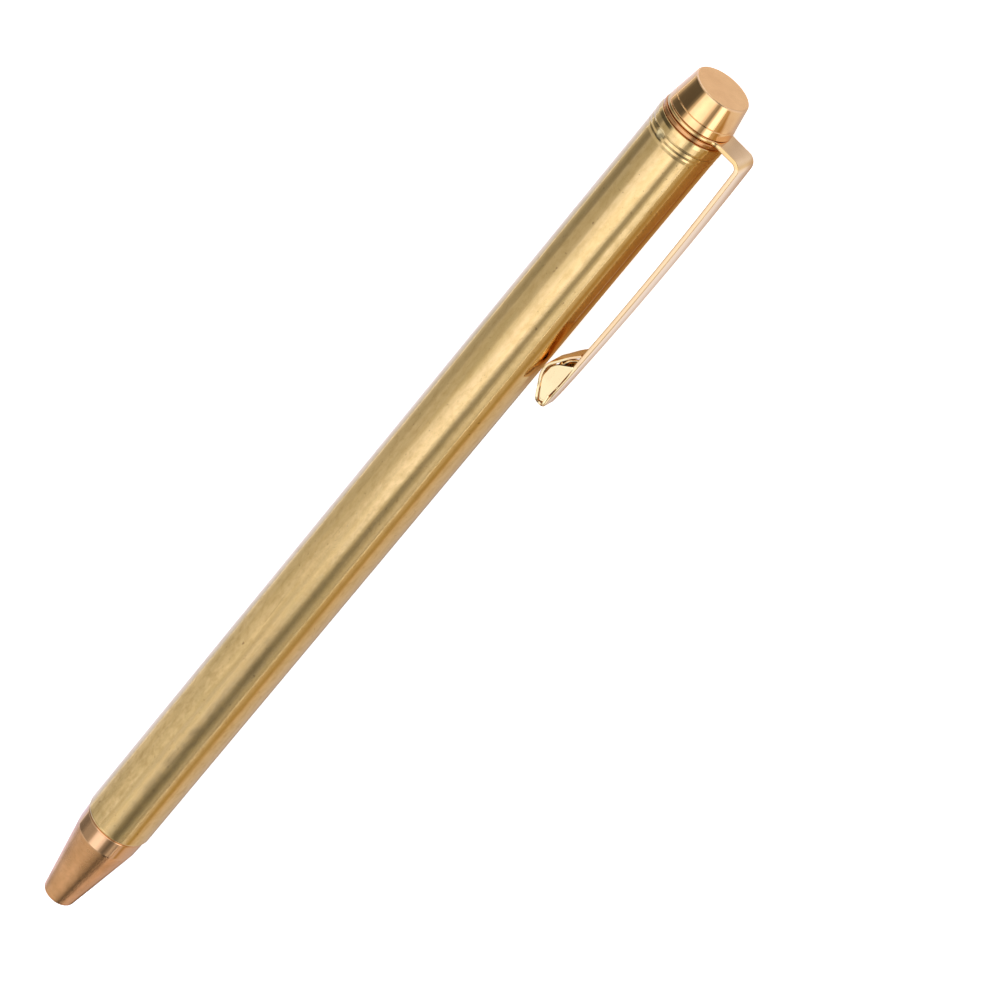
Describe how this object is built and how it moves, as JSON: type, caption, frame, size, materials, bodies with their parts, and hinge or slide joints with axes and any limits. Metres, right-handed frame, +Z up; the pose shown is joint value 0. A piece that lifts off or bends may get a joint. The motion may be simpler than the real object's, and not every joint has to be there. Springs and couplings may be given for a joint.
{
  "type": "retractable ballpoint pen",
  "caption": "Slim brass ballpoint pen lying on its side: a short turning knob at the tail drives the refill out of a blunt cone nose; sheet-metal pocket clip.",
  "frame": {"origin": "centre of the bounding box in X and Y, on the table under the pen as it lies on barrel and clip", "axes": "+X along the pen's axis towards the turning knob, +Y away from the clip, +Z up"},
  "size_m": [0.139, 0.0122, 0.0087],
  "materials": {
    "barrel_brass": "drawn brass tube, satin, aged with a light patina",
    "nose_bronze": "turned bronze-coloured brass, fine lathe lines on the cone, polished collar",
    "knob_bronze": "polished rose-gold brass",
    "copper_ring": "polished copper-coloured brass",
    "clip_gold": "polished gold-plated spring brass",
    "inner_brass": "plain machined brass",
    "steel": "bright drawn steel",
    "refill_metal": "satin steel tube",
    "white_plastic": "white acetal",
    "black_plastic": "black moulded plastic",
    "ink": "blue-black ball-pen ink",
    "grease": "clear yellowish follower grease",
    "carbide": "ground tungsten-carbide ball"
  },
  "bodies": {
    "pen_body": {"barrel_tube": "barrel_brass", "top_ring": "barrel_brass", "nose_cone": "nose_bronze", "top_bush": "copper_ring", "clip_ring": "clip_gold", "clip_lock_nut": "inner_brass", "guide_tube": "inner_brass", "return_spring": "steel"},
    "clip_spring_arm": {"clip_arm": "clip_gold"},
    "turning_knob": {"knob": "knob_bronze", "drive_shaft": "steel", "friction_washer": "white_plastic", "cam_sleeve": "inner_brass"},
    "refill_carrier": {"plunger": "white_plastic", "follower_pin": "steel", "refill_tube": "refill_metal", "refill_end_cap": "black_plastic", "ink_column": "ink", "ink_follower": "grease", "refill_nozzle": "refill_metal", "writing_tip": "inner_brass", "writing_ball": "carbide"}
  },
  "joints": [
    {"name": "knob_turn", "type": "hinge", "parent": "pen_body", "child": "turning_knob", "pos_m": [0.0655, 0.00177, 0.00434], "axis": [-1, 0, 0], "range_deg": [0, 180]},
    {"name": "refill_travel", "type": "slide", "parent": "pen_body", "child": "refill_carrier", "axis": [-1, 0, 0], "range_m": [0, 0.0055], "deforming": ["return_spring"]},
    {"name": "clip_flex", "type": "hinge", "parent": "pen_body", "child": "clip_spring_arm", "pos_m": [0.0631, -0.00523, 0.00188], "axis": [0, 0.3305, -0.9438], "range_deg": [-2.5, 0], "stiffness_Nm_per_rad": 1}
  ],
  "couplings": [
    {"joint": "knob_turn", "follows": "refill_travel", "rad_per_m": 571.19}
  ]
}
